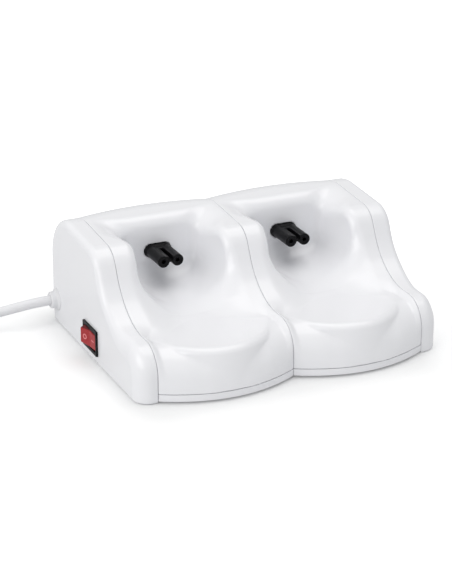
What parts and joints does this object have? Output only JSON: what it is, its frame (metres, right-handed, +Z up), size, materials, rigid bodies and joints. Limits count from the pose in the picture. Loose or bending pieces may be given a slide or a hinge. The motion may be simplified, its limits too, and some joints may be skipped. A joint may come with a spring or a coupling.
{
  "type": "roll on wax heater",
  "caption": "Two-station docking base for roll-on wax heaters: two moulded docks with connector noses, rocker switch on the left cap, mains cord with plug.",
  "frame": {"origin": "on the table, on the seam between the two stations, at the middle of the casing's depth", "axes": "+X along the row of stations, from the end with the switch and cord to the other end; +Y to the back, away from the user; +Z up"},
  "size_m": [0.3301, 0.1731, 0.0693],
  "materials": {
    "gloss_white": "glossy injection-moulded ABS",
    "black_nylon": "satin moulded nylon",
    "red_rocker": "translucent polished",
    "brass": "stamped",
    "steel": "zinc plated",
    "spring_steel": "bright",
    "rubber": "matt",
    "cord_white": "soft PVC",
    "lead_brown": "PVC insulation",
    "lead_blue": "PVC insulation",
    "natural_nylon": "natural",
    "lamp_glass": "neon capsule",
    "nickel": "nickel plated"
  },
  "bodies": {
    "casing": {"station_shell_left": "gloss_white", "base_pan_left": "gloss_white", "end_cap_left": "gloss_white", "dock_plug_left": "black_nylon", "plug_contacts_left": "brass", "plug_retainer_left": "black_nylon", "case_screws_left": "steel", "rubber_feet_left": "rubber", "station_shell_right": "gloss_white", "base_pan_right": "gloss_white", "end_cap_right": "gloss_white", "dock_plug_right": "black_nylon", "plug_contacts_right": "brass", "plug_retainer_right": "black_nylon", "case_screws_right": "steel", "rubber_feet_right": "rubber", "retainer_screws": "steel", "seam_strap_front": "steel", "seam_strap_rear": "steel", "switch_housing": "black_nylon", "switch_terminals": "brass", "cord_gland": "cord_white", "cord_tail": "cord_white", "cord_clamp": "natural_nylon", "cord_clamp_screws": "steel", "terminal_block": "natural_nylon", "terminal_screws": "brass", "mains_cord": "cord_white", "mains_cord_plug_end": "cord_white", "cord_coil": "cord_white", "mains_plug": "cord_white", "plug_pins": "nickel", "lead_live_in": "lead_brown", "lead_neutral_in": "lead_blue", "lead_live_switched": "lead_brown", "lead_lamp_neutral": "lead_blue", "lead_live_left": "lead_brown", "lead_neutral_left": "lead_blue", "lead_live_right": "lead_brown", "lead_neutral_right": "lead_blue"},
    "rocker": {"switch_rocker": "red_rocker", "switch_lamp": "lamp_glass", "switch_plunger": "natural_nylon", "switch_spring": "spring_steel"},
    "contact_lever": {"switch_contact_lever": "brass"}
  },
  "joints": [
    {"name": "rocker_hinge", "type": "hinge", "parent": "casing", "child": "rocker", "pos_m": [-0.0901, 0.0047, 0.0132], "axis": [0, 0, 1], "range_deg": [-20, 0]},
    {"name": "lever_hinge", "type": "hinge", "parent": "casing", "child": "contact_lever", "pos_m": [-0.0804, 0.0047, 0.0132], "axis": [0, 0, 1], "range_deg": [0, 14]}
  ],
  "couplings": [
    {"joint": "lever_hinge", "follows": "rocker_hinge", "ratio": -0.7}
  ]
}
